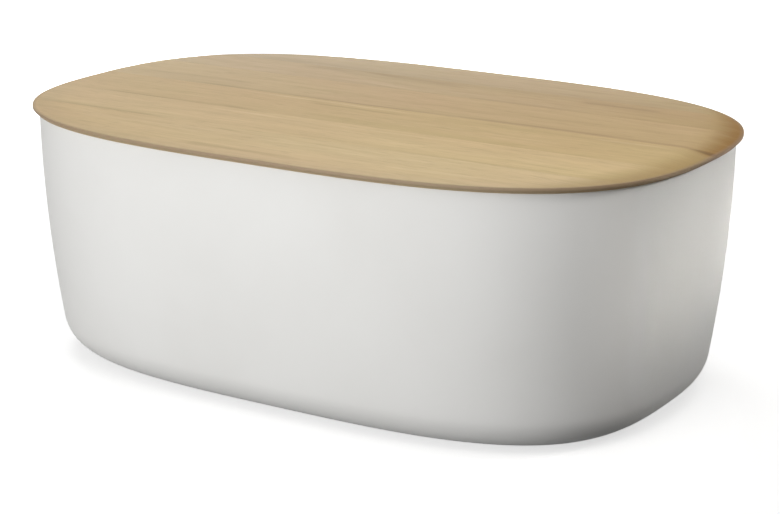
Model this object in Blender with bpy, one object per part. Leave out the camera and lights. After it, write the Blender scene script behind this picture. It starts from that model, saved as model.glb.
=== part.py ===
"""Bread box: a moulded shell with a lift-off wooden lid that also serves as a board.

Metres, +Z up. The origin is on the table under the middle of the box. +X runs along the
length and -Y faces the front. Every outline is one rounded-oblong curve, set in by some
distance along its own normals, so walls, gaps and overhangs keep their width all round.
"""
import math

import bmesh
import bpy
import numpy as np
from mathutils import Matrix

# Overall sizes, over the lid
LENGTH = 0.345
WIDTH = 0.225
HEIGHT = 0.125

# Roundness of the plan curve |x/a|**ROUND_LONG + |y/b|**ROUND_WIDE = 1
ROUND_LONG = 3.2
ROUND_WIDE = 2.7

# Lid: a board of glued staves, rebated below to leave a thin lip round a plug
LID_THICKNESS = 0.015
LIP_THICKNESS = 0.0028
LIP_OVERHANG = 0.0032
LIP_LAND = 0.0012
LID_ARRIS = 0.0004
PLUG_CLEARANCE = 0.0012
PLUG_CHAMFER = 0.0012
GLUE_LINE = 0.0003
STAVE_JOINT_SHARES = (-0.578, -0.267, 0.080, 0.444, 0.711)

# Seal: a band in a groove round the plug
GROOVE_DROP = 0.0042
GROOVE_HEIGHT = 0.0032
GROOVE_DEPTH = 0.0020
SEAL_CORNER = 0.0003

# Shell
WALL = 0.0032
BASE_THICKNESS = 0.0042
BASE_ROUND = 0.0200
RIM_ROUND = 0.0010
LEAN_AT_RIM = math.radians(0.3)
LEAN_AT_BASE = math.radians(8.7)

# Air holes through the rear wall
VENT_COUNT = 5
VENT_RADIUS = 0.0021
VENT_PITCH = 0.0120
VENT_DROP = 0.0240

# Feet: discs glued into round sockets in the base
FOOT_RADIUS = 0.0065
FOOT_SOCKET = 0.0016
FOOT_PROUD = 0.0008
FOOT_CHAMFER = 0.0004
FOOT_X_SHARE = 0.66
FOOT_Y_SHARE = 0.52

# Gap left wherever two pieces touch, and the overrun of a cutter past what it cuts
FIT = 0.0003
OVERRUN = 0.0030

# Fineness of the curves
OUTLINE_POINTS = 96
WALL_STEPS = 6
BASE_STEPS = 8
RIM_STEPS = 3
NOSE_STEPS = 2
HOLE_POINTS = 20
FOOT_POINTS = 32

# Levels and set-ins that several pieces share. A set-in is measured from the lid's edge.
LIP_UNDERSIDE = HEIGHT - LIP_THICKNESS
PLUG_BOTTOM = HEIGHT - LID_THICKNESS
RIM_LEVEL = LIP_UNDERSIDE - FIT
BASE_LEVEL = FOOT_PROUD
FLOOR_LEVEL = BASE_LEVEL + BASE_THICKNESS
RIM_OUTSIDE = LIP_OVERHANG
RIM_INSIDE = RIM_OUTSIDE + WALL
INNER_ROUND = BASE_ROUND - WALL
PLUG_SIDE = RIM_INSIDE + PLUG_CLEARANCE


def start_empty():
    for thing in list(bpy.data.objects):
        bpy.data.objects.remove(thing, do_unlink=True)


def material(name, colour, roughness):
    """A Principled material, all of it non-metallic."""
    made = bpy.data.materials.new(name)
    made.use_nodes = True
    shader = made.node_tree.nodes["Principled BSDF"]
    shader.inputs["Base Color"].default_value = (*colour, 1.0)
    shader.inputs["Roughness"].default_value = roughness
    shader.inputs["Metallic"].default_value = 0.0
    return made


def plan_curve():
    """Points and outward normals of the lid's edge, evenly spaced along the curve."""
    half_long = LENGTH / 2
    half_wide = WIDTH / 2
    turn = np.linspace(0.0, 2 * math.pi, 40 * OUTLINE_POINTS + 1)
    c = np.cos(turn)
    s = np.sin(turn)
    x = half_long * np.sign(c) * np.abs(c) ** (2 / ROUND_LONG)
    y = half_wide * np.sign(s) * np.abs(s) ** (2 / ROUND_WIDE)
    run = np.concatenate([[0.0], np.cumsum(np.hypot(np.diff(x), np.diff(y)))])
    stops = np.linspace(0.0, run[-1], OUTLINE_POINTS, endpoint=False)
    x = np.interp(stops, run, x)
    y = np.interp(stops, run, y)
    nx = np.sign(x) * np.abs(x / half_long) ** (ROUND_LONG - 1) * ROUND_LONG / half_long
    ny = np.sign(y) * np.abs(y / half_wide) ** (ROUND_WIDE - 1) * ROUND_WIDE / half_wide
    size = np.hypot(nx, ny)
    return np.column_stack([x, y]), np.column_stack([nx / size, ny / size])


EDGE, NORMAL = plan_curve()


def add_ring(bm, set_in, level):
    """The corners of one closed loop: the lid's edge curve, set in and at a level."""
    return [bm.verts.new((x, y, level)) for x, y in EDGE - NORMAL * set_in]


def skin(bm, ring, next_ring):
    """A band of faces between two rings."""
    for i in range(len(ring)):
        j = (i + 1) % len(ring)
        bm.faces.new((ring[i], ring[j], next_ring[j], next_ring[i]))


def loft(bm, profile):
    """Skin a list of (set-in, level) stations, and return the first and last rings."""
    rings = [add_ring(bm, set_in, level) for set_in, level in profile]
    for ring, next_ring in zip(rings, rings[1:]):
        skin(bm, ring, next_ring)
    return rings[0], rings[-1]


def finished(name, bm, look, parent=None):
    """Turn the bmesh into a named object with outward faces."""
    bmesh.ops.recalc_face_normals(bm, faces=bm.faces[:])
    mesh = bpy.data.meshes.new(name)
    bm.to_mesh(mesh)
    bm.free()
    mesh.shade_smooth()
    mesh.set_sharp_from_angle(angle=math.radians(35))
    mesh.materials.append(look)
    thing = bpy.data.objects.new(name, mesh)
    thing.parent = parent
    bpy.context.scene.collection.objects.link(thing)
    return thing


def cut_with(target, cutter):
    """Subtract a guide object, which is hidden and drawn as wire."""
    cutter.hide_render = True
    cutter.display_type = "WIRE"
    cut = target.modifiers.new("cut by " + cutter.name, "BOOLEAN")
    cut.operation = "DIFFERENCE"
    cut.solver = "EXACT"
    cut.object = cutter


def wall_arc_radius(base, base_round):
    """Radius of the bowed wall that meets the base round at LEAN_AT_BASE."""
    drop = RIM_LEVEL - base - base_round * (1 - math.sin(LEAN_AT_BASE))
    return drop / (math.sin(LEAN_AT_BASE) - math.sin(LEAN_AT_RIM))


def wall_set_in(rim_set_in, base, base_round, level):
    """How far in a bowed wall stands at a level above its base round."""
    radius = wall_arc_radius(base, base_round)
    lean = math.asin(math.sin(LEAN_AT_RIM) + (RIM_LEVEL - level) / radius)
    return rim_set_in + radius * (math.cos(LEAN_AT_RIM) - math.cos(lean))


def wall_profile(rim_set_in, top, base, base_round):
    """(set-in, level) from just under the rim, down the wall and round to the base."""
    round_start = base + base_round * (1 - math.sin(LEAN_AT_BASE))
    profile = []
    for level in np.linspace(top, round_start, WALL_STEPS + 1):
        profile.append((wall_set_in(rim_set_in, base, base_round, level), level))
    wall_end = profile[-1][0]
    for lean in np.linspace(LEAN_AT_BASE, math.pi / 2, BASE_STEPS + 1)[1:]:
        inward = base_round * (math.cos(LEAN_AT_BASE) - math.cos(lean))
        profile.append((wall_end + inward, base + base_round * (1 - math.sin(lean))))
    return profile


def rim_profile():
    """(set-in, level) over the rounded rim, from its outer side to its inner side."""
    quarter = np.linspace(0.0, math.pi / 2, RIM_STEPS + 1)
    level = RIM_LEVEL - RIM_ROUND
    outer = [(RIM_OUTSIDE + RIM_ROUND * (1 - math.cos(a)), level + RIM_ROUND * math.sin(a))
             for a in quarter]
    inner = [(RIM_INSIDE - RIM_ROUND * (1 - math.cos(a)), level + RIM_ROUND * math.sin(a))
             for a in reversed(quarter)]
    return outer + inner


def foot_places():
    """Names and centres of the four feet, as shares of the flat of the base."""
    flat_set_in = wall_profile(RIM_OUTSIDE, RIM_LEVEL, BASE_LEVEL, BASE_ROUND)[-1][0]
    x = FOOT_X_SHARE * (LENGTH / 2 - flat_set_in)
    y = FOOT_Y_SHARE * (WIDTH / 2 - flat_set_in)
    return (("front_left", -x, -y), ("front_right", x, -y),
            ("rear_left", -x, y), ("rear_right", x, y))


def make_shell(look, parent):
    """The moulded box: bowed walls, a large base round and a rounded rim."""
    bm = bmesh.new()
    outside = wall_profile(RIM_OUTSIDE, RIM_LEVEL - RIM_ROUND, BASE_LEVEL, BASE_ROUND)
    inside = wall_profile(RIM_INSIDE, RIM_LEVEL - RIM_ROUND, FLOOR_LEVEL, INNER_ROUND)
    profile = outside[:0:-1] + rim_profile() + inside[1:]
    under, floor = loft(bm, profile)
    bm.faces.new(under)
    bm.faces.new(floor)
    return finished("box_shell", bm, look, parent)


def vent_drills():
    """A row of level drills that stand across the middle of the rear wall."""
    bm = bmesh.new()
    level = RIM_LEVEL - VENT_DROP
    wall_middle = WIDTH / 2 - WALL / 2 - wall_set_in(RIM_OUTSIDE, BASE_LEVEL, BASE_ROUND, level)
    for i in range(VENT_COUNT):
        drill = bmesh.ops.create_cone(bm, cap_ends=True, segments=HOLE_POINTS, radius1=VENT_RADIUS,
                                      radius2=VENT_RADIUS, depth=WALL + 2 * OVERRUN)
        bmesh.ops.rotate(bm, verts=drill["verts"], matrix=Matrix.Rotation(math.pi / 2, 3, "X"))
        across = (i - (VENT_COUNT - 1) / 2) * VENT_PITCH
        bmesh.ops.translate(bm, verts=drill["verts"], vec=(across, wall_middle, level))
    return bm


def socket_drills():
    """Four short drills that sink the foot sockets into the base."""
    bm = bmesh.new()
    depth = FOOT_SOCKET + OVERRUN
    middle = BASE_LEVEL + FOOT_SOCKET - depth / 2
    for _, x, y in foot_places():
        drill = bmesh.ops.create_cone(bm, cap_ends=True, segments=FOOT_POINTS,
                                      radius1=FOOT_RADIUS + FIT, radius2=FOOT_RADIUS + FIT, depth=depth)
        bmesh.ops.translate(bm, verts=drill["verts"], vec=(x, y, middle))
    return bm


def make_foot(name, x, y, look, parent):
    """A pressed disc with an eased lower edge, seated in its socket."""
    bm = bmesh.new()
    height = FOOT_PROUD + FOOT_SOCKET - FIT
    bmesh.ops.create_cone(bm, cap_ends=True, segments=FOOT_POINTS, radius1=FOOT_RADIUS,
                          radius2=FOOT_RADIUS, depth=height)
    bmesh.ops.translate(bm, verts=bm.verts[:], vec=(x, y, height / 2))
    lower = [e for e in bm.edges if all(v.co.z < height / 2 for v in e.verts)]
    bmesh.ops.bevel(bm, geom=lower, offset=FOOT_CHAMFER, segments=1, profile=0.5,
                    affect="EDGES", clamp_overlap=True, material=-1)
    return finished("foot_" + name, bm, look, parent)


def lid_blank():
    """The whole board before it is divided: eased top, thin lip, plug and seal groove."""
    bm = bmesh.new()
    groove_top = LIP_UNDERSIDE - GROOVE_DROP
    groove_low = groove_top - GROOVE_HEIGHT
    undercut = LIP_THICKNESS - LIP_LAND
    top, bottom = loft(bm, [
        (LID_ARRIS, HEIGHT),
        (0.0, HEIGHT - LID_ARRIS),
        (0.0, HEIGHT - LIP_LAND),
        (undercut, LIP_UNDERSIDE),
        (PLUG_SIDE, LIP_UNDERSIDE),
        (PLUG_SIDE, groove_top),
        (PLUG_SIDE + GROOVE_DEPTH, groove_top),
        (PLUG_SIDE + GROOVE_DEPTH, groove_low),
        (PLUG_SIDE, groove_low),
        (PLUG_SIDE, PLUG_BOTTOM + PLUG_CHAMFER),
        (PLUG_SIDE + PLUG_CHAMFER, PLUG_BOTTOM),
    ])
    bm.faces.new(top)
    bm.faces.new(bottom)
    bmesh.ops.recalc_face_normals(bm, faces=bm.faces[:])
    return bm


def saw(bm, y, keep_front):
    """Cut the board square across at y, keep one side and close the sawn face."""
    normal = (0, 1, 0) if keep_front else (0, -1, 0)
    cut = bmesh.ops.bisect_plane(bm, geom=bm.verts[:] + bm.edges[:] + bm.faces[:],
                                 plane_co=(0, y, 0), plane_no=normal, clear_outer=True)
    sawn = [e for e in cut["geom_cut"] if isinstance(e, bmesh.types.BMEdge)]
    bmesh.ops.holes_fill(bm, edges=sawn, sides=len(sawn))


def make_staves(look, parent):
    """The staves of the lid, front to rear, a glue line apart."""
    joints = [share * WIDTH / 2 for share in STAVE_JOINT_SHARES]
    fronts = [None] + joints
    rears = joints + [None]
    for number, (front, rear) in enumerate(zip(fronts, rears), start=1):
        bm = lid_blank()
        if front is not None:
            saw(bm, front + GLUE_LINE / 2, keep_front=False)
        if rear is not None:
            saw(bm, rear - GLUE_LINE / 2, keep_front=True)
        finished("lid_stave_" + str(number), bm, look, parent)


def make_seal(look, parent):
    """The band: a square root in the groove and a rounded nose towards the shell."""
    bm = bmesh.new()
    top = LIP_UNDERSIDE - GROOVE_DROP - FIT
    low = LIP_UNDERSIDE - GROOVE_DROP - GROOVE_HEIGHT + FIT
    middle = (top + low) / 2
    half = (top - low) / 2
    root = PLUG_SIDE + GROOVE_DEPTH - FIT
    shell_side = wall_set_in(RIM_INSIDE, FLOOR_LEVEL, INNER_ROUND, middle)
    reach = PLUG_SIDE - shell_side - FIT
    nose = [(PLUG_SIDE - reach * math.cos(a), middle + half * math.sin(a))
            for a in np.linspace(-math.pi / 2, math.pi / 2, 2 * NOSE_STEPS + 1)]
    section = [(root, low + SEAL_CORNER), (root - SEAL_CORNER, low)] + nose
    section += [(root - SEAL_CORNER, top), (root, top - SEAL_CORNER)]
    first, last = loft(bm, section)
    skin(bm, last, first)
    return finished("lid_seal", bm, look, parent)


def build():
    start_empty()
    shell_white = material("moulded_white", (0.84, 0.84, 0.82), 0.42)
    wood = material("lid_wood", (0.58, 0.43, 0.25), 0.55)
    silicone = material("silicone", (0.72, 0.72, 0.70), 0.60)

    box = bpy.data.objects.new("box", None)
    bpy.context.scene.collection.objects.link(box)
    shell = make_shell(shell_white, box)
    cut_with(shell, finished("vent_drills", vent_drills(), shell_white, box))
    cut_with(shell, finished("socket_drills", socket_drills(), shell_white, box))
    for name, x, y in foot_places():
        make_foot(name, x, y, silicone, box)

    lid = bpy.data.objects.new("lid", None)
    bpy.context.scene.collection.objects.link(lid)
    make_staves(wood, lid)
    make_seal(silicone, lid)


build()
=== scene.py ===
import math

import bmesh
import bpy
from mathutils import Matrix, Vector


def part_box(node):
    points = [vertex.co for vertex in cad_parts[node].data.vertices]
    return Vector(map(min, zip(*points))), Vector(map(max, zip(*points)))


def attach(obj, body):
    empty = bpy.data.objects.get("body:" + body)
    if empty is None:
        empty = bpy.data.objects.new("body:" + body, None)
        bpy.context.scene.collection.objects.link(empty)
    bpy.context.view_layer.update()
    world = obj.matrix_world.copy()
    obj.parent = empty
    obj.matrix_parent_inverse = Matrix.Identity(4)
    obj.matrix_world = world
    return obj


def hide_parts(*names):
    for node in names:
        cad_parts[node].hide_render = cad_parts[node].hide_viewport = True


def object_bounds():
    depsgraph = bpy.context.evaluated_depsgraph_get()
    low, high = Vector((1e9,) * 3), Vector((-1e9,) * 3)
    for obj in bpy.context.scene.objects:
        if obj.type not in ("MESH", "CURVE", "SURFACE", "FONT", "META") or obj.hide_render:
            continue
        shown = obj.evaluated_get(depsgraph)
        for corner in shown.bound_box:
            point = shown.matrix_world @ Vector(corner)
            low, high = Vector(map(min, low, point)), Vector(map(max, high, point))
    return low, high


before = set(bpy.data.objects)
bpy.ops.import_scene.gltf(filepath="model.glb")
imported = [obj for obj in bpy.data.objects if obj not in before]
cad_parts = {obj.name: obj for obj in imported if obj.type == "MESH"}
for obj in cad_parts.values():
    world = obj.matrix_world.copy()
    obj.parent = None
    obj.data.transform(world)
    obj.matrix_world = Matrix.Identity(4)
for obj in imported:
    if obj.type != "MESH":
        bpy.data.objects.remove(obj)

cad_low, cad_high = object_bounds()

# Camera. It looks down a little on the front left of the box from its front right
# corner, as the photograph was taken, with the right end nearer than the left.
CAMERA_AZIMUTH = math.radians(31.785)
CAMERA_ELEVATION = math.radians(16.165)
CAMERA_ROLL = math.radians(0.149)
CAMERA_DISTANCE = 1.04984
CAMERA_AIM = Vector((0.006354, 0.0, 0.053531))
FOCAL_PIXELS = 2157.2
PHOTO_WIDTH_PIXELS = 780
SENSOR_WIDTH = 36.0

camera_back = Vector((
    math.sin(CAMERA_AZIMUTH) * math.cos(CAMERA_ELEVATION),
    -math.cos(CAMERA_AZIMUTH) * math.cos(CAMERA_ELEVATION),
    math.sin(CAMERA_ELEVATION),
))
camera_right = Vector((math.cos(CAMERA_AZIMUTH), math.sin(CAMERA_AZIMUTH), 0.0))
camera_up = camera_back.cross(camera_right)
camera_turn = Matrix((camera_right, camera_up, camera_back)).transposed()
camera_turn = Matrix.Rotation(CAMERA_ROLL, 3, camera_back) @ camera_turn
camera_place = Matrix.Translation(CAMERA_AIM + camera_back * CAMERA_DISTANCE)
camera_data = bpy.data.cameras.new("photo_camera")
camera_data.sensor_width = SENSOR_WIDTH
camera_data.lens = FOCAL_PIXELS * SENSOR_WIDTH / PHOTO_WIDTH_PIXELS
camera = bpy.data.objects.new("photo_camera", camera_data)
camera.matrix_world = camera_place @ camera_turn.to_4x4()
bpy.context.scene.collection.objects.link(camera)
bpy.context.scene.camera = camera

# Box shell. One moulded shell of white melamine, satin outside and in. Its plan is a
# rounded oblong, its walls bow inwards as they go down, and its rim is rounded over.
ROUND_LONG = 3.2
ROUND_WIDE = 2.7
PLAN_STEPS = 288
WALL = 0.0032
BASE_THICKNESS = 0.0042
BASE_ROUND = 0.0200
RIM_ROUND = 0.0010
LEAN_AT_RIM = math.radians(0.3)
LEAN_AT_BASE = math.radians(8.7)
WALL_STEPS = 14
BASE_STEPS = 14
RIM_STEPS = 5
SHARP_ANGLE = math.radians(40)
# The air holes in the rear wall and the sockets for the feet, drilled after moulding.
VENT_COUNT = 5
VENT_RADIUS = 0.0021
VENT_PITCH = 0.0120
VENT_DROP = 0.0240
VENT_EASE = 0.0004
VENT_EASE_STEPS = 2
VENT_EASE_ANGLE = math.radians(60)
SOCKET_RADIUS = 0.0068
SOCKET_DEPTH = 0.0016
DRILL_SIDES = 48
# The finish. A pattern is given by how often it repeats in a metre along each axis, and
# by how many finer layers it has.
MELAMINE_SHADED = (0.800, 0.795, 0.780)
MELAMINE_WHITE = (0.835, 0.832, 0.820)
MELAMINE_ROUGHNESS = 0.58
MELAMINE_UNEVENNESS = 0.04
MELAMINE_SPECULAR = 0.20
MELAMINE_CLOUD = ((16.0, 16.0, 16.0), 3.0)
CLOUD_LOW = 0.30
CLOUD_HIGH = 0.70
ORANGE_PEEL = ((420.0, 420.0, 420.0), 2.0)
PEEL_STRENGTH = 0.08
PEEL_DEPTH = 0.0002

shell_low, shell_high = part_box("box_shell")
lid_edge = Vector((cad_high.x, cad_high.y))
RIM_LEVEL = shell_high.z
BASE_LEVEL = shell_low.z
RIM_OUTSIDE = lid_edge.x - shell_high.x


def start_ring(bm):
    """A loop of edges on the lid's outline. Each corner keeps its place and outward normal."""
    home = bm.verts.layers.float_vector.new("home")
    outward = bm.verts.layers.float_vector.new("outward")
    bmesh.ops.create_circle(bm, cap_ends=False, segments=PLAN_STEPS, radius=1.0)
    for corner in bm.verts:
        c, s = corner.co.x, corner.co.y
        x = math.copysign(abs(c) ** (2 / ROUND_LONG), c)
        y = math.copysign(abs(s) ** (2 / ROUND_WIDE), s)
        slope_x = math.copysign(abs(x) ** (ROUND_LONG - 1), x) * ROUND_LONG / lid_edge.x
        slope_y = math.copysign(abs(y) ** (ROUND_WIDE - 1), y) * ROUND_WIDE / lid_edge.y
        corner[home] = (x * lid_edge.x, y * lid_edge.y, 0.0)
        corner[outward] = Vector((slope_x, slope_y, 0.0)).normalized()
    return bm.edges[:]


def walk(bm, ring, stations):
    """Place a ring at the first (set-in, level) station and extrude it through the rest."""
    home = bm.verts.layers.float_vector["home"]
    outward = bm.verts.layers.float_vector["outward"]
    for number, (set_in, level) in enumerate(stations):
        if number > 0:
            made = bmesh.ops.extrude_edge_only(bm, edges=ring)["geom"]
            fresh = {part for part in made if isinstance(part, bmesh.types.BMVert)}
            ring = [part for part in made if isinstance(part, bmesh.types.BMEdge)
                    and part.verts[0] in fresh and part.verts[1] in fresh]
        for corner in {corner for edge in ring for corner in edge.verts}:
            corner.co = corner[home] - corner[outward] * set_in + Vector((0.0, 0.0, level))
    return ring


def steps(first, last, count):
    """Evenly spaced values from first to last, both included."""
    return [first + (last - first) * i / count for i in range(count + 1)]


def bowed_wall(rim_set_in, base, base_round):
    """Stations down a wall that leans in more and more, and round into the base."""
    drop = RIM_LEVEL - base - base_round * (1 - math.sin(LEAN_AT_BASE))
    bow = drop / (math.sin(LEAN_AT_BASE) - math.sin(LEAN_AT_RIM))
    stations = []
    for level in steps(RIM_LEVEL - RIM_ROUND, RIM_LEVEL - drop, WALL_STEPS):
        lean = math.asin(math.sin(LEAN_AT_RIM) + (RIM_LEVEL - level) / bow)
        set_in = rim_set_in + bow * (math.cos(LEAN_AT_RIM) - math.cos(lean))
        stations.append((set_in, level))
    wall_end = stations[-1][0]
    for lean in steps(LEAN_AT_BASE, math.pi / 2, BASE_STEPS)[1:]:
        inward = base_round * (math.cos(LEAN_AT_BASE) - math.cos(lean))
        stations.append((wall_end + inward, base + base_round * (1 - math.sin(lean))))
    return stations


def rounded_rim():
    """Stations over the rim, from just above the outer wall to just above the inner one."""
    arc = [(math.cos(a), math.sin(a)) for a in steps(0.0, math.pi / 2, RIM_STEPS)]
    level = RIM_LEVEL - RIM_ROUND
    inner_face = RIM_OUTSIDE + WALL
    outer = [(RIM_OUTSIDE + RIM_ROUND * (1 - c), level + RIM_ROUND * s) for c, s in arc[1:]]
    inner = [(inner_face - RIM_ROUND * (1 - c), level + RIM_ROUND * s) for c, s in arc[:0:-1]]
    return outer + inner


def new_piece(name, bm, material, body, replaces, sharp=SHARP_ANGLE):
    """A finished piece: outward faces, smooth shading, its finish, and the node it replaces."""
    bmesh.ops.recalc_face_normals(bm, faces=bm.faces[:])
    mesh = bpy.data.meshes.new(name)
    bm.to_mesh(mesh)
    bm.free()
    mesh.shade_smooth()
    mesh.set_sharp_from_angle(angle=sharp)
    mesh.materials.append(material)
    piece = bpy.data.objects.new(name, mesh)
    bpy.context.scene.collection.objects.link(piece)
    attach(piece, body)
    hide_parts(replaces)
    return piece


def put(tree, kind, sockets, **settings):
    """Add a node. Each named socket gets a value, or a link from another node's output."""
    made = tree.nodes.new(kind)
    for setting, value in settings.items():
        setattr(made, setting, value)
    for socket, value in sockets.items():
        if isinstance(value, bpy.types.NodeSocket):
            tree.links.new(value, made.inputs[socket])
        else:
            made.inputs[socket].default_value = value
    return made


def start_material(name, roughness, specular):
    """A new material, with its nodes and its shader."""
    made = bpy.data.materials.new(name)
    made.use_nodes = True
    shader = made.node_tree.nodes["Principled BSDF"]
    shader.inputs["Roughness"].default_value = roughness
    shader.inputs["Specular IOR Level"].default_value = specular
    return made, made.node_tree, shader


def noise(tree, place, repeats, detail, roughness=0.5):
    """A cloudy pattern that repeats so often in a metre along each axis."""
    scaled = put(tree, "ShaderNodeVectorMath", {0: place, 1: repeats}, operation="MULTIPLY")
    return put(tree, "ShaderNodeTexNoise", {
        "Vector": scaled.outputs[0], "Scale": 1.0, "Detail": detail, "Roughness": roughness,
    }).outputs


def ramp(tree, value, stops):
    """A colour for each level of a value, given as (level, colour) stops."""
    made = put(tree, "ShaderNodeValToRGB", {"Fac": value})
    bar = made.color_ramp.elements
    while len(bar) < len(stops):
        bar.new(0.5)
    for stop, (level, colour) in zip(bar, stops):
        stop.position = level
        stop.color = (*colour, 1.0)
    return made.outputs["Color"]


def mapped(tree, value, low, high, at_low=0.0, at_high=1.0, curve="LINEAR"):
    """A value that goes from at_low to at_high as another goes from low to high."""
    ends = {"From Min": low, "From Max": high, "To Min": at_low, "To Max": at_high}
    made = put(tree, "ShaderNodeMapRange", {"Value": value, **ends}, interpolation_type=curve)
    return made.outputs["Result"]


def roughen(tree, shader, height, strength, depth):
    """Give the surface a fine relief."""
    bump = put(tree, "ShaderNodeBump", {"Height": height, "Strength": strength, "Distance": depth})
    tree.links.new(bump.outputs["Normal"], shader.inputs["Normal"])


def melamine():
    """Satin white, with the faintest cloudiness and the fine orange peel of a polished mould."""
    made, tree, shader = start_material("white_melamine", MELAMINE_ROUGHNESS, MELAMINE_SPECULAR)
    place = put(tree, "ShaderNodeTexCoord", {}).outputs["Object"]
    cloud = noise(tree, place, *MELAMINE_CLOUD)["Fac"]
    colour = ramp(tree, cloud, [(CLOUD_LOW, MELAMINE_SHADED), (CLOUD_HIGH, MELAMINE_WHITE)])
    tree.links.new(colour, shader.inputs["Base Color"])
    dulled = mapped(tree, cloud, CLOUD_LOW, CLOUD_HIGH,
                    MELAMINE_ROUGHNESS - MELAMINE_UNEVENNESS,
                    MELAMINE_ROUGHNESS + MELAMINE_UNEVENNESS)
    tree.links.new(dulled, shader.inputs["Roughness"])
    roughen(tree, shader, noise(tree, place, *ORANGE_PEEL)["Fac"], PEEL_STRENGTH, PEEL_DEPTH)
    return made


def cut_out(piece, cutter_bm):
    """Subtract a set of closed shapes from a piece for good."""
    cutter_mesh = bpy.data.meshes.new("cutter")
    cutter_bm.to_mesh(cutter_mesh)
    cutter_bm.free()
    cutter = bpy.data.objects.new("cutter", cutter_mesh)
    bpy.context.scene.collection.objects.link(cutter)
    cut = piece.modifiers.new("cut", "BOOLEAN")
    cut.operation = "DIFFERENCE"
    cut.solver = "EXACT"
    cut.object = cutter
    bpy.context.view_layer.update()
    finished = piece.evaluated_get(bpy.context.evaluated_depsgraph_get())
    result = bpy.data.meshes.new_from_object(finished)
    piece.modifiers.clear()
    piece.data = result
    bpy.data.objects.remove(cutter, do_unlink=True)


def drill(bm, radius, depth, spot, turn=None):
    """Add an upright cylinder with its middle at a spot, turned first where a turn is given."""
    made = bmesh.ops.create_cone(bm, cap_ends=True, segments=DRILL_SIDES,
                                 radius1=radius, radius2=radius, depth=depth)
    if turn is not None:
        bmesh.ops.rotate(bm, verts=made["verts"], matrix=turn)
    bmesh.ops.translate(bm, verts=made["verts"], vec=spot)


FEET = ("foot_front_left", "foot_front_right", "foot_rear_left", "foot_rear_right")
outside = bowed_wall(RIM_OUTSIDE, BASE_LEVEL, BASE_ROUND)
inside = bowed_wall(RIM_OUTSIDE + WALL, BASE_LEVEL + BASE_THICKNESS, BASE_ROUND - WALL)
shell_bm = bmesh.new()
under_ring = start_ring(shell_bm)
floor_ring = walk(shell_bm, under_ring, outside[::-1] + rounded_rim() + inside)
bmesh.ops.contextual_create(shell_bm, geom=under_ring)
bmesh.ops.contextual_create(shell_bm, geom=floor_ring)
shell = new_piece("shell_body", shell_bm, melamine(), "box", "box_shell")

drills = bmesh.new()
for foot in FEET:
    foot_low, foot_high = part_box(foot)
    middle = (foot_low + foot_high) / 2
    drill(drills, SOCKET_RADIUS, 2 * SOCKET_DEPTH, Vector((middle.x, middle.y, BASE_LEVEL)))
for number in range(VENT_COUNT):
    across = (number - (VENT_COUNT - 1) / 2) * VENT_PITCH
    spot = Vector((across, shell_high.y - WALL / 2, RIM_LEVEL - VENT_DROP))
    drill(drills, VENT_RADIUS, 4 * WALL, spot, Matrix.Rotation(math.pi / 2, 3, "X"))
cut_out(shell, drills)
eased = shell.modifiers.new("eased holes", "BEVEL")
eased.width = VENT_EASE
eased.segments = VENT_EASE_STEPS
eased.limit_method = "ANGLE"
eased.angle_limit = VENT_EASE_ANGLE

# Feet. Four pads pressed from soft grey silicone, glued into round sockets under the
# base, with the lower edge rolled so that they don't catch on a cloth.
FOOT_ROLL = 0.0006
FOOT_ROLL_STEPS = 4
FOOT_GREY = (0.52, 0.52, 0.50)
FOOT_ROUGHNESS = 0.62
SILICONE_SPECULAR = 0.35
SILICONE_DARKENING = 0.9
SILICONE_CLOUD = ((90.0, 90.0, 90.0), 2.0)
SILICONE_CLOUD_LOW = 0.35
SILICONE_CLOUD_HIGH = 0.65
SILICONE_TOOTH = ((2500.0, 2500.0, 2500.0), 1.0)
TOOTH_STRENGTH = 0.15
TOOTH_DEPTH = 0.0001


def silicone(name, colour, roughness):
    """Matt rubber, a little darker here and there, with a fine tooth to its skin."""
    made, tree, shader = start_material(name, roughness, SILICONE_SPECULAR)
    place = put(tree, "ShaderNodeTexCoord", {}).outputs["Object"]
    cloud = noise(tree, place, *SILICONE_CLOUD)["Fac"]
    darker = tuple(SILICONE_DARKENING * channel for channel in colour)
    clouded = ramp(tree, cloud, [(SILICONE_CLOUD_LOW, darker), (SILICONE_CLOUD_HIGH, colour)])
    tree.links.new(clouded, shader.inputs["Base Color"])
    tooth = noise(tree, place, *SILICONE_TOOTH)["Fac"]
    roughen(tree, shader, tooth, TOOTH_STRENGTH, TOOTH_DEPTH)
    return made


foot_silicone = silicone("foot_silicone", FOOT_GREY, FOOT_ROUGHNESS)
for foot in FEET:
    foot_low, foot_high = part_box(foot)
    middle = (foot_low + foot_high) / 2
    foot_bm = bmesh.new()
    drill(foot_bm, (foot_high.x - foot_low.x) / 2, foot_high.z - foot_low.z, middle)
    lower_rim = [edge for edge in foot_bm.edges
                 if all(corner.co.z < middle.z for corner in edge.verts)]
    bmesh.ops.bevel(foot_bm, geom=lower_rim, offset=FOOT_ROLL, segments=FOOT_ROLL_STEPS,
                    profile=0.5, affect="EDGES", clamp_overlap=True, material=-1)
    new_piece(foot.replace("foot", "pad"), foot_bm, foot_silicone, "box", foot)

# Lid staves. Six strips of oiled oak, glued edge to edge into one board. The board is
# routed underneath, which leaves a thin lip with an undercut edge round a plug.
LID_FIT = 0.0003
LIP_LAND = 0.0012
LID_ARRIS = 0.0004
ARRIS_STEPS = 3
PLUG_CLEARANCE = 0.0012
PLUG_EASE = 0.0012
GROOVE_DROP = 0.0042
GROOVE_HEIGHT = 0.0032
GROOVE_DEPTH = 0.0020
GLUE_LINE = 0.00005
STAVE_SHARP_ANGLE = math.radians(30)
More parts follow.
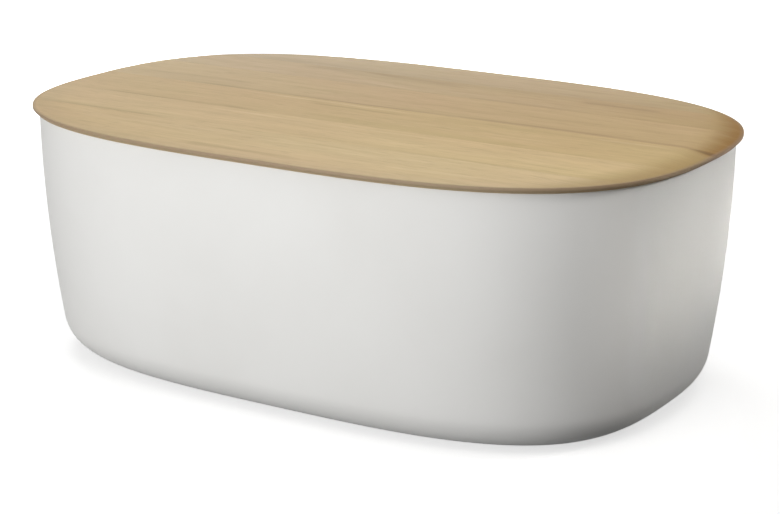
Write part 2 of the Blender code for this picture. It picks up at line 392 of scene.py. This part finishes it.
# Each stave's grain: how far it leans, where it was cut from the plank, the tint of its
# left and right ends, and its streaks. The tints are partly the wood's own tone and partly
# painted light: a painted cool light at the left and painted shade darker to the right.
# A streak runs from x to x at y, is so wide, and is darker (above zero) or paler (below
# zero) than the wood.
STAVES = (
    {"lean": 0.4, "shift": (0.31, 0.02, 0.046),
     "left": (1.03, 1.01, 0.97), "right": (1.13, 1.18, 1.28),
     "streaks": ((-0.046, 0.024, -0.1005, 0.0042, 0.50), (0.060, 0.112, -0.0900, 0.0036, -0.25),
                 (-0.160, 0.090, -0.0760, 0.0110, -0.20))},
    {"lean": -0.3, "shift": (-0.12, 0.14, 0.060),
     "left": (1.07, 1.07, 1.09), "right": (1.10, 1.14, 1.12),
     "streaks": ((-0.158, -0.078, -0.0640, 0.0034, 0.50), (0.034, 0.134, -0.0640, 0.0028, 0.35),
                 (-0.084, 0.070, -0.0360, 0.0022, -0.38), (0.080, 0.150, -0.0360, 0.0060, 0.22),
                 (-0.010, 0.130, -0.0500, 0.0100, -0.18))},
    {"lean": 0.2, "shift": (0.55, -0.08, 0.038),
     "left": (1.01, 0.99, 1.00), "right": (0.98, 0.98, 0.91),
     "streaks": ((-0.150, -0.046, -0.0290, 0.0036, 0.50), (-0.090, 0.016, 0.0045, 0.0020, -0.85),
                 (-0.040, 0.014, -0.0010, 0.0020, 0.60), (0.036, 0.176, 0.0040, 0.0065, 0.34),
                 (0.112, 0.152, 0.0050, 0.0022, -0.80), (-0.010, 0.110, -0.0140, 0.0110, -0.20),
                 (0.150, 0.190, 0.0112, 0.0040, 1.00))},
    {"lean": -0.6, "shift": (-0.40, 0.05, 0.052),
     "left": (1.01, 1.02, 1.10), "right": (0.87, 0.83, 0.80),
     "streaks": ((-0.138, 0.044, 0.0105, 0.0024, 0.60), (0.030, 0.172, 0.0105, 0.0030, 0.58),
                 (-0.160, -0.086, 0.0230, 0.0030, 0.40), (-0.180, -0.085, 0.0170, 0.0110, 0.22))},
    {"lean": 0.5, "shift": (0.80, 0.09, 0.070),
     "left": (0.97, 1.00, 1.15), "right": (0.77, 0.73, 0.65),
     "streaks": ((0.014, 0.086, 0.0520, 0.0036, 0.30), (-0.096, -0.036, 0.0790, 0.0120, 0.55),
                 (-0.046, 0.010, 0.0760, 0.0110, 0.50), (0.070, 0.116, 0.0715, 0.0048, 0.50),
                 (-0.060, 0.096, 0.0570, 0.0100, -0.34), (-0.020, 0.130, 0.0780, 0.0100, 0.18))},
    {"lean": -0.2, "shift": (-0.71, -0.11, 0.044),
     "left": (0.98, 1.04, 1.28), "right": (0.73, 0.71, 0.65),
     "streaks": ((-0.140, 0.000, 0.0830, 0.0110, 0.36), (-0.030, 0.130, 0.0840, 0.0100, 0.22))},
)
# The grain's patterns, long along the stave and narrow across it and through it, with
# how coarse the finer layers are where that matters, and how far the wobble moves them.
DRIFT = ((5.0, 14.0, 12.0), 2.0)
WOBBLE = ((10.0, 16.0, 12.0), 2.0)
RINGS = ((8.5, 125.0, 60.0), 4.0, 0.62)
FIBRES = ((34.0, 700.0, 450.0), 3.0, 0.6)
PORES = ((85.0, 1900.0, 1100.0), 1.0)
FLECKS = ((30.0, 260.0, 200.0), 2.0)
HUES = ((9.0, 22.0, 20.0), 2.0)
WANDER = (0.0, 0.011, 0.008)
FIBRE_SHARE = 0.48
FLECK_SHARE = 0.30
# The wood from its darkest grain to its palest, and the two hues that it drifts between.
OAK_COLOURS = (
    (0.24, (0.470, 0.340, 0.176)),
    (0.45, (0.560, 0.416, 0.224)),
    (0.55, (0.590, 0.440, 0.240)),
    (0.76, (0.650, 0.495, 0.282)),
)
WARM_HUE = (1.01, 0.992, 1.00)
COOL_HUE = (0.995, 1.005, 0.985)
DARK_STREAK = (0.62, 0.57, 0.54)
PALE_STREAK = (1.24, 1.32, 1.48)
# The golden and dark end colours are partly the wood's own tone and partly painted shade where the
# end bends down.
GOLDEN_END_AND_SHADE = (0.362, 0.244, 0.088)
DARK_END_AND_SHADE = (0.236, 0.113, 0.013)
PORE_BROWN = (0.300, 0.205, 0.108)
EDGE_SHADE_AND_DARKENING_BROWN = (0.262, 0.192, 0.138)
# A brown for painted shade on the upright edge faces and round the rim, also used for the darker
# front band.
END_GRAIN_BROWN = (0.280, 0.190, 0.110)
OAK_ROUGHNESS = 0.62
OAK_SPECULAR = 0.18
OAK_RELIEF_STRENGTH = 0.25
OAK_RELIEF_DEPTH = 0.0002
PORE_SINK = -1.5
# Where a tone, a painted shade or a bend starts to show, where it is full, and how full
# that is, if not wholly. The places are metres along and across the lid and shares of the
# way out to its edge. Then come the levels of a pattern, and how far a face looks up or to
# the side.
GRAIN_SWEEP = (0.152, 0.176, 0.009)
GOLDEN_ALONG = (0.149, 0.174, 0.95)
GOLDEN_ACROSS = (-0.20, 0.0)
DARK_ALONG = (0.163, 0.179)
DARK_ACROSS = (0.005, 0.011, 0.96)
# A band along the front edge, a little darker.
FRONT_DARKENING_OUT = (0.68, 0.92, 0.14)
FRONT_DARKENING_ACROSS = (-0.02, -0.06)
# Painted shade in a thin ring round the rim.
RIM_SHADE_OUT = (0.955, 0.992, 0.45)
HUE_LEVELS = (0.35, 0.65)
UPRIGHT_FACE = (0.95, 0.50, 0.62)
UNDERSIDE_FACE = (-1.10, -0.20)
END_FACE = (0.25, 0.85, 0.40)
# Two levels of a pattern, and the shares that a streak and the open pores have at them.
STREAK_BREAKS = (0.38, 0.60, 0.35, 1.00)
OPEN_PORES = (0.60, 0.70, 0.00, 0.30)
# How far from the middle a stave has its end's full tint, how far the streaks wave and
# over how much of their length they fade, and how the dark end bows and frays.
TINT_HALF_LENGTH = 0.16
STREAK_WAVE = 0.008
STREAK_FADE_OUT = 0.55
STREAK_FULL = 0.30
END_BOW = 3.5
END_RAGGEDNESS = 0.010

LID_TOP = cad_high.z
PLUG_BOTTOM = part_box("lid_stave_3")[0].z
LIP_THICKNESS = LID_TOP - RIM_LEVEL - LID_FIT
PLUG_SIDE = RIM_OUTSIDE + WALL + PLUG_CLEARANCE


def maths(tree, operation, *values):
    """One step of arithmetic on values or on other nodes' outputs."""
    return put(tree, "ShaderNodeMath", dict(enumerate(values)), operation=operation).outputs[0]


def rise(tree, value, low, high, top=1.0):
    """A smooth rise from nothing at low to top at high, or a fall where high is the smaller."""
    if high < low:
        return mapped(tree, value, high, low, top, 0.0, "SMOOTHSTEP")
    return mapped(tree, value, low, high, 0.0, top, "SMOOTHSTEP")


def shared(tree, share, first, second):
    """Two patterns in one, the second with a share of it."""
    return put(tree, "ShaderNodeMix", {0: share, 2: first, 3: second}).outputs[0]


def blended(tree, share, first, second, blend="MIX"):
    """Two colours, the second laid over the first by a share."""
    first, second = (colour if isinstance(colour, bpy.types.NodeSocket) else (*colour, 1.0)
                     for colour in (first, second))
    made = put(tree, "ShaderNodeMix", {0: share, 6: first, 7: second},
               data_type="RGBA", blend_type=blend)
    return made.outputs[2]


def streaked(tree, wood, streaks, along, waving, flecks):
    """Lay a stave's streaks over its wood. Each is soft at its sides and ends, and broken."""
    for first, last, level, width, strength in streaks:
        beside = maths(tree, "ABSOLUTE", maths(tree, "SUBTRACT", waving, level))
        from_middle = maths(tree, "SUBTRACT", along, (first + last) / 2)
        lengthwise = rise(tree, maths(tree, "ABSOLUTE", from_middle),
                          (last - first) * STREAK_FADE_OUT, (last - first) * STREAK_FULL,
                          abs(strength))
        line = maths(tree, "MULTIPLY", rise(tree, beside, width, 0.0), lengthwise)
        broken = maths(tree, "MULTIPLY", line, mapped(tree, flecks, *STREAK_BREAKS))
        stain = DARK_STREAK if strength > 0 else PALE_STREAK
        wood = blended(tree, broken, wood, stain, "MULTIPLY")
    return wood


def oak(name, lean, shift, left, right, streaks):
    """Oiled oak with its grain along X: growth rings, fibres, pores and streaks, with a
    golden and dark right end, partly the wood's own tone and partly painted shade where the
    end bends down, painted shade on its upright edge faces and round its rim, a darker band
    along its front edge, and end grain."""
    made, tree, shader = start_material(name, OAK_ROUGHNESS, OAK_SPECULAR)
    here = put(tree, "ShaderNodeTexCoord", {})
    axes = put(tree, "ShaderNodeSeparateXYZ", {0: here.outputs["Object"]}).outputs
    along = axes[0]
    across = maths(tree, "ADD", axes[1], rise(tree, along, *GRAIN_SWEEP))
    swept = put(tree, "ShaderNodeCombineXYZ", {0: along, 1: across, 2: axes[2]}).outputs[0]
    place = put(tree, "ShaderNodeMapping", {
        "Vector": swept, "Location": shift, "Rotation": (0.0, 0.0, math.radians(lean)),
    }).outputs[0]

    drift = noise(tree, place, *DRIFT)["Fac"]
    wobble = noise(tree, place, *WOBBLE)["Color"]
    wandering = put(tree, "ShaderNodeVectorMath", {0: wobble, 1: WANDER, 2: place},
                    operation="MULTIPLY_ADD").outputs[0]
    rings, fibres, pores, flecks = (noise(tree, wandering, *pattern)["Fac"]
                                    for pattern in (RINGS, FIBRES, PORES, FLECKS))
    grain = shared(tree, FLECK_SHARE, shared(tree, FIBRE_SHARE, rings, fibres), flecks)
    wood = ramp(tree, grain, OAK_COLOURS)

    cooler = rise(tree, noise(tree, place, *HUES)["Fac"], *HUE_LEVELS)
    hue = blended(tree, cooler, WARM_HUE, COOL_HUE)
    wood = blended(tree, 1.0, wood, hue, "MULTIPLY")
    # The ends' tints: partly the wood's own tone, partly a painted cool light at the left and
    # painted shade towards the right.
    tint_and_shade_rightwards = mapped(tree, along, -TINT_HALF_LENGTH, TINT_HALF_LENGTH)
    wood = blended(tree, 1.0, wood, blended(tree, tint_and_shade_rightwards, left, right), "MULTIPLY")

    unbent = maths(tree, "SUBTRACT", across, STREAK_WAVE / 2)
    waving = maths(tree, "MULTIPLY_ADD", drift, STREAK_WAVE, unbent)
    across_squared = maths(tree, "MULTIPLY", axes[1], axes[1])
    rounded = maths(tree, "MULTIPLY_ADD", across_squared, END_BOW, along)
    ragged = maths(tree, "MULTIPLY_ADD", rings, END_RAGGEDNESS, rounded)
    # A golden and a dark right end: partly the wood's own tone, partly painted shade where the end
    # bends down.
    golden = maths(tree, "MULTIPLY", rise(tree, rounded, *GOLDEN_ALONG),
                   rise(tree, across, *GOLDEN_ACROSS))
    wood = blended(tree, golden, wood, GOLDEN_END_AND_SHADE)
    dark = maths(tree, "MULTIPLY", rise(tree, ragged, *DARK_ALONG),
                 rise(tree, waving, *DARK_ACROSS))
    wood = blended(tree, dark, wood, DARK_END_AND_SHADE)
    wood = streaked(tree, wood, streaks, along, waving, flecks)
    open_pores = mapped(tree, pores, *OPEN_PORES)
    wood = blended(tree, open_pores, wood, PORE_BROWN)

    ways_out = []
    for axis, power in enumerate((ROUND_LONG, ROUND_WIDE)):
        from_middle = maths(tree, "DIVIDE", axes[axis], lid_edge[axis])
        ways_out.append(maths(tree, "POWER", maths(tree, "ABSOLUTE", from_middle), power))
    out = maths(tree, "ADD", *ways_out)
    # A band along the front edge, a little darker.
    front_darkening = maths(tree, "MULTIPLY", rise(tree, out, *FRONT_DARKENING_OUT),
                    rise(tree, across, *FRONT_DARKENING_ACROSS))
    # Painted shade in a thin ring round the rim, taken together with the darker front band.
    front_darkening_and_rim_shade = maths(tree, "MAXIMUM", front_darkening, rise(tree, out, *RIM_SHADE_OUT))
    wood = blended(tree, front_darkening_and_rim_shade, wood, EDGE_SHADE_AND_DARKENING_BROWN)
    # Painted shade on faces that look to the side: the lip's edge, a little of its undercut, and
    # the routed plug and groove.
    facing = put(tree, "ShaderNodeSeparateXYZ", {0: here.outputs["Normal"]}).outputs
    painted_edge_shade = maths(tree, "MULTIPLY", rise(tree, facing[2], *UPRIGHT_FACE),
                    rise(tree, facing[2], *UNDERSIDE_FACE))
    wood = blended(tree, painted_edge_shade, wood, EDGE_SHADE_AND_DARKENING_BROWN)
    end_grain = rise(tree, maths(tree, "ABSOLUTE", facing[0]), *END_FACE)
    wood = blended(tree, end_grain, wood, END_GRAIN_BROWN)
    tree.links.new(wood, shader.inputs["Base Color"])
    relief = maths(tree, "MULTIPLY_ADD", open_pores, PORE_SINK, fibres)
    roughen(tree, shader, relief, OAK_RELIEF_STRENGTH, OAK_RELIEF_DEPTH)
    return made


def lid_board():
    """The whole board, before it is divided into its staves."""
    bm = bmesh.new()
    lip_underside = LID_TOP - LIP_THICKNESS
    groove_top = lip_underside - GROOVE_DROP
    groove_low = groove_top - GROOVE_HEIGHT
    groove_side = PLUG_SIDE + GROOVE_DEPTH
    arc = steps(math.pi / 2, 0.0, ARRIS_STEPS)
    arris = [(LID_ARRIS * (1 - math.cos(a)), LID_TOP - LID_ARRIS * (1 - math.sin(a))) for a in arc]
    lip = [(0.0, LID_TOP - LIP_LAND), (LIP_THICKNESS - LIP_LAND, lip_underside)]
    plug_top = [(PLUG_SIDE, lip_underside), (PLUG_SIDE, groove_top)]
    groove = [(groove_side, groove_top), (groove_side, groove_low), (PLUG_SIDE, groove_low)]
    plug_low = [(PLUG_SIDE, PLUG_BOTTOM + PLUG_EASE), (PLUG_SIDE + PLUG_EASE, PLUG_BOTTOM)]
    top_ring = start_ring(bm)
    bottom_ring = walk(bm, top_ring, arris + lip + plug_top + groove + plug_low)
    bmesh.ops.contextual_create(bm, geom=top_ring)
    bmesh.ops.contextual_create(bm, geom=bottom_ring)
    bmesh.ops.recalc_face_normals(bm, faces=bm.faces[:])
    return bm


def saw(bm, y, side):
    """Saw the board along its length at y, drop what lies on that side and close the cut."""
    made = bmesh.ops.bisect_plane(bm, geom=bm.verts[:] + bm.edges[:] + bm.faces[:],
                                  plane_co=(0.0, y, 0.0), plane_no=(0.0, side, 0.0),
                                  clear_outer=True)
    sawn = [part for part in made["geom_cut"] if isinstance(part, bmesh.types.BMEdge)]
    bmesh.ops.holes_fill(bm, edges=sawn, sides=len(sawn))


for number, stave in enumerate(STAVES, start=1):
    node = "lid_stave_" + str(number)
    board = lid_board()
    if number > 1:
        joint = (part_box(node)[0].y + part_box("lid_stave_" + str(number - 1))[1].y) / 2
        saw(board, joint + GLUE_LINE / 2, -1.0)
    if number < len(STAVES):
        joint = (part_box(node)[1].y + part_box("lid_stave_" + str(number + 1))[0].y) / 2
        saw(board, joint - GLUE_LINE / 2, 1.0)
    finish = oak("oak_" + str(number), **stave)
    new_piece("oak_stave_" + str(number), board, finish, "lid", node,
              sharp=STAVE_SHARP_ANGLE)

# Lid seal. A band of pale silicone stretched into the groove round the plug. Its
# rounded nose reaches almost to the shell, so that the lid drops in without a rattle.
NOSE_STEPS = 8
SEAL_FIT = 0.0003
SEAL_CORNER = 0.0003
SEAL_MERGE = 0.000001
SEAL_PALE = (0.74, 0.74, 0.71)
SEAL_ROUGHNESS = 0.55

seal_low, seal_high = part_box("lid_seal")
seal_middle = (seal_low.z + seal_high.z) / 2
seal_half = (seal_high.z - seal_low.z) / 2
seal_root = PLUG_SIDE + GROOVE_DEPTH - SEAL_FIT
seal_reach = PLUG_SIDE - (lid_edge.x - seal_high.x)
seal_section = [(seal_root, seal_low.z + SEAL_CORNER), (seal_root - SEAL_CORNER, seal_low.z)]
seal_section += [(PLUG_SIDE - seal_reach * math.cos(a), seal_middle + seal_half * math.sin(a))
                 for a in steps(-math.pi / 2, math.pi / 2, NOSE_STEPS)]
seal_section += [(seal_root - SEAL_CORNER, seal_high.z), (seal_root, seal_high.z - SEAL_CORNER)]
seal_bm = bmesh.new()
walk(seal_bm, start_ring(seal_bm), seal_section + seal_section[:1])
bmesh.ops.remove_doubles(seal_bm, verts=seal_bm.verts[:], dist=SEAL_MERGE)
seal_silicone = silicone("seal_silicone", SEAL_PALE, SEAL_ROUGHNESS)
new_piece("seal_band", seal_bm, seal_silicone, "lid", "lid_seal")

# Floor and backdrop. A plain white sweep of paper under an even white sky. Both show
# white to the camera and in reflections. The floor keeps the shadow, glows less near
# the box so that it shows, and throws back only part of the light it gets.
FLOOR_RADIUS = 5.0
FLOOR_SIDES = 96
WHITE = (1.0, 1.0, 1.0, 1.0)
PAPER_SEEN = (0.62, 0.62, 0.62, 1.0)
PAPER_LIGHTING = (0.06, 0.06, 0.06, 1.0)
SKY_TINT = (1.0, 0.985, 0.955, 1.0)
SKY_STRENGTH = 0.10
# Two distances from the middle, and the strength of the floor's glow at them.
GLOW_BY_DISTANCE = (0.25, 1.20, 0.62, 1.00)


def seen(tree):
    """Whether a ray is one that shows the backdrop: from the camera, a gloss or a clear piece."""
    ray = put(tree, "ShaderNodeLightPath", {}).outputs
    shown = maths(tree, "MAXIMUM", ray["Is Camera Ray"], ray["Is Glossy Ray"])
    return maths(tree, "MAXIMUM", shown, ray["Is Transmission Ray"])


floor_bm = bmesh.new()
bmesh.ops.create_circle(floor_bm, cap_ends=True, segments=FLOOR_SIDES, radius=FLOOR_RADIUS)
floor_mesh = bpy.data.meshes.new("floor")
floor_bm.to_mesh(floor_mesh)
floor_bm.free()
floor_white = bpy.data.materials.new("floor_white")
floor_white.use_nodes = True
floor_tree = floor_white.node_tree
floor_tree.nodes.clear()
paper = put(floor_tree, "ShaderNodeBsdfDiffuse", {"Color": PAPER_SEEN})
spot = put(floor_tree, "ShaderNodeTexCoord", {}).outputs["Object"]
away = put(floor_tree, "ShaderNodeVectorMath", {0: spot}, operation="LENGTH").outputs["Value"]
fading = mapped(floor_tree, away, *GLOW_BY_DISTANCE)
glow = put(floor_tree, "ShaderNodeEmission", {"Color": WHITE, "Strength": fading})
bright = put(floor_tree, "ShaderNodeAddShader", {0: paper.outputs[0], 1: glow.outputs[0]})
dim = put(floor_tree, "ShaderNodeBsdfDiffuse", {"Color": PAPER_LIGHTING})
floor_mix = put(floor_tree, "ShaderNodeMixShader",
                {0: seen(floor_tree), 1: dim.outputs[0], 2: bright.outputs[0]})
put(floor_tree, "ShaderNodeOutputMaterial", {"Surface": floor_mix.outputs[0]})
floor_mesh.materials.append(floor_white)
floor = bpy.data.objects.new("floor", floor_mesh)
bpy.context.scene.collection.objects.link(floor)

world = bpy.data.worlds.new("studio")
world.use_nodes = True
bpy.context.scene.world = world
sky_tree = world.node_tree
sky_tree.nodes.clear()
plain = put(sky_tree, "ShaderNodeBackground", {"Color": WHITE, "Strength": 1.0})
soft = put(sky_tree, "ShaderNodeBackground", {"Color": SKY_TINT, "Strength": SKY_STRENGTH})
sky_mix = put(sky_tree, "ShaderNodeMixShader",
              {0: seen(sky_tree), 1: soft.outputs[0], 2: plain.outputs[0]})
put(sky_tree, "ShaderNodeOutputWorld", {"Surface": sky_mix.outputs[0]})

# Lights. One broad softbox close to the front makes the bright front. A softbox and two
# narrow strips with grids light the right end more at its top than at its base. One over
# the corner and one at the rear light the lid, and a weak one and a low strip fill the rear.
MIDDLE = (0.0, 0.0, 0.060)
UPPER_RIGHT_END = (0.0866, 0.0500, 0.120)
REAR_RIGHT_END = (0.0707, 0.0707, 0.075)
NO_GRID = 180.0
NEUTRAL = (1.0, 1.0, 1.0)
FRONT_WHITE = (1.0, 1.0, 0.990)
CORNER_WARM = (1.0, 0.990, 0.970)
RIGHT_WARM = (1.0, 0.975, 0.935)
# Each lamp stands at its distance from what it is aimed at. Its spread is the angle, in
# degrees, that its grid lets through.
LAMPS = (
    {"name": "front_softbox", "azimuth": -9.0, "elevation": 6.0, "distance": 0.8,
     "aim": MIDDLE, "size": (0.60, 0.36), "spread": NO_GRID, "power": 5.03, "tint": FRONT_WHITE},
    {"name": "right_softbox", "azimuth": 120.0, "elevation": 19.0, "distance": 0.8,
     "aim": MIDDLE, "size": (0.40, 0.40), "spread": NO_GRID, "power": 0.86, "tint": RIGHT_WARM},
    {"name": "right_upper_strip", "azimuth": 120.0, "elevation": 30.0, "distance": 0.8,
     "aim": UPPER_RIGHT_END, "size": (0.50, 0.06), "spread": 24.0, "power": 0.079,
     "tint": RIGHT_WARM},
    {"name": "right_lower_strip", "azimuth": 135.0, "elevation": 5.0, "distance": 0.8,
     "aim": REAR_RIGHT_END, "size": (0.50, 0.06), "spread": 8.0, "power": 0.045,
     "tint": RIGHT_WARM},
    {"name": "corner_softbox", "azimuth": 50.0, "elevation": 54.0, "distance": 0.8,
     "aim": MIDDLE, "size": (0.40, 0.40), "spread": NO_GRID, "power": 1.55, "tint": CORNER_WARM},
    {"name": "rear_softbox", "azimuth": -120.0, "elevation": 50.0, "distance": 1.0,
     "aim": MIDDLE, "size": (0.50, 0.50), "spread": NO_GRID, "power": 3.76, "tint": NEUTRAL},
    {"name": "rear_fill", "azimuth": 165.0, "elevation": 45.0, "distance": 2.4,
     "aim": MIDDLE, "size": (1.35, 1.35), "spread": NO_GRID, "power": 4.26, "tint": NEUTRAL},
    {"name": "rear_strip", "azimuth": -148.0, "elevation": 0.0, "distance": 0.8,
     "aim": MIDDLE, "size": (0.80, 0.10), "spread": NO_GRID, "power": 2.8, "tint": NEUTRAL},
)
for lamp in LAMPS:
    light = bpy.data.lights.new(lamp["name"], "AREA")
    light.shape = "RECTANGLE"
    light.size, light.size_y = lamp["size"]
    light.spread = math.radians(lamp["spread"])
    light.energy = lamp["power"]
    light.color = lamp["tint"]
    azimuth = math.radians(lamp["azimuth"])
    elevation = math.radians(lamp["elevation"])
    towards = Vector((
        math.sin(azimuth) * math.cos(elevation),
        -math.cos(azimuth) * math.cos(elevation),
        math.sin(elevation),
    ))
    holder = bpy.data.objects.new(lamp["name"], light)
    holder.location = Vector(lamp["aim"]) + towards * lamp["distance"]
    holder.visible_camera = False
    holder.rotation_mode = "QUATERNION"
    holder.rotation_quaternion = (-towards).to_track_quat("-Z", "Y")
    bpy.context.scene.collection.objects.link(holder)

bpy.context.scene.view_settings.view_transform = "Standard"
